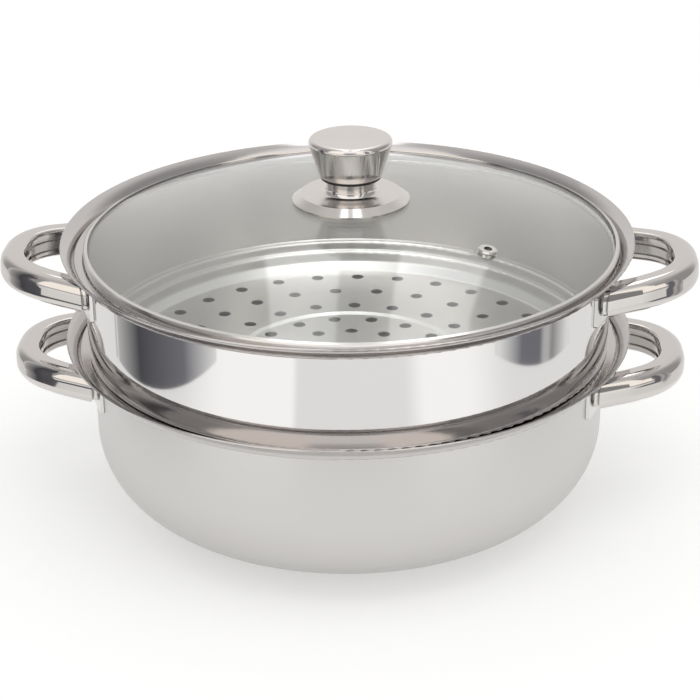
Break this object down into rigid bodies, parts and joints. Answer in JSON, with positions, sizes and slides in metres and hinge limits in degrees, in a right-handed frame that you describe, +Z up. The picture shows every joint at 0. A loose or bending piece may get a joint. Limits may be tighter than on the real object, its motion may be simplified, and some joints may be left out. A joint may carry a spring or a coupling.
{
  "type": "steamer pot",
  "caption": "Bowl-shaped steel pot with a nesting perforated steamer tier, a domed glass lid with a knob, and loop handles on each tier.",
  "frame": {"origin": "centre of the pot's base, on the plane it stands on", "axes": "+Z up, the handles point along +X and -X, -Y is the side nearest the camera"},
  "size_m": [0.3434, 0.2798, 0.1904],
  "materials": {
    "satin_steel": "satin, finely spun round the pot",
    "mirror_steel": "mirror polished",
    "rim_steel": "satin, finely spun round the rim",
    "handle_steel": "mirror polished",
    "liner_steel": "pressed, semi-bright",
    "bracket_steel": "semi-bright",
    "lid_steel": "polished",
    "knob_steel": "satin top, turned sides, polished foot",
    "bright_steel": "polished",
    "clear_glass": "clear, polished, tempered",
    "clear_silicone": "translucent silicone, matt",
    "dark_phenolic": "moulded phenolic resin"
  },
  "bodies": {
    "pot": {"pot_body": "satin_steel", "pot_rim": "rim_steel", "pot_handle_left": "handle_steel", "pot_handle_liner_left": "liner_steel", "pot_bracket_left_front": "bracket_steel", "pot_bracket_left_back": "bracket_steel", "pot_handle_right": "handle_steel", "pot_handle_liner_right": "liner_steel", "pot_bracket_right_front": "bracket_steel", "pot_bracket_right_back": "bracket_steel"},
    "steamer": {"steamer_body": "mirror_steel", "steamer_rim": "rim_steel", "steamer_handle_left": "handle_steel", "steamer_handle_liner_left": "liner_steel", "steamer_bracket_left_front": "bracket_steel", "steamer_bracket_left_back": "bracket_steel", "steamer_handle_right": "handle_steel", "steamer_handle_liner_right": "liner_steel", "steamer_bracket_right_front": "bracket_steel", "steamer_bracket_right_back": "bracket_steel"},
    "lid": {"lid_glass": "clear_glass", "lid_rim": "lid_steel", "vent_eyelet": "bright_steel", "knob_gasket": "clear_silicone", "knob_base": "knob_steel", "knob_cap": "knob_steel", "knob_plug": "dark_phenolic", "knob_soft_washer": "clear_silicone", "knob_steel_washer": "bright_steel", "knob_screw": "bright_steel"}
  },
  "joints": [
    {"name": "steamer_lift", "type": "slide", "parent": "pot", "child": "steamer", "axis": [0, 0, 1], "range_m": [0, 0.15]},
    {"name": "lid_lift", "type": "slide", "parent": "steamer", "child": "lid", "axis": [0, 0, 1], "range_m": [0, 0.12]}
  ]
}
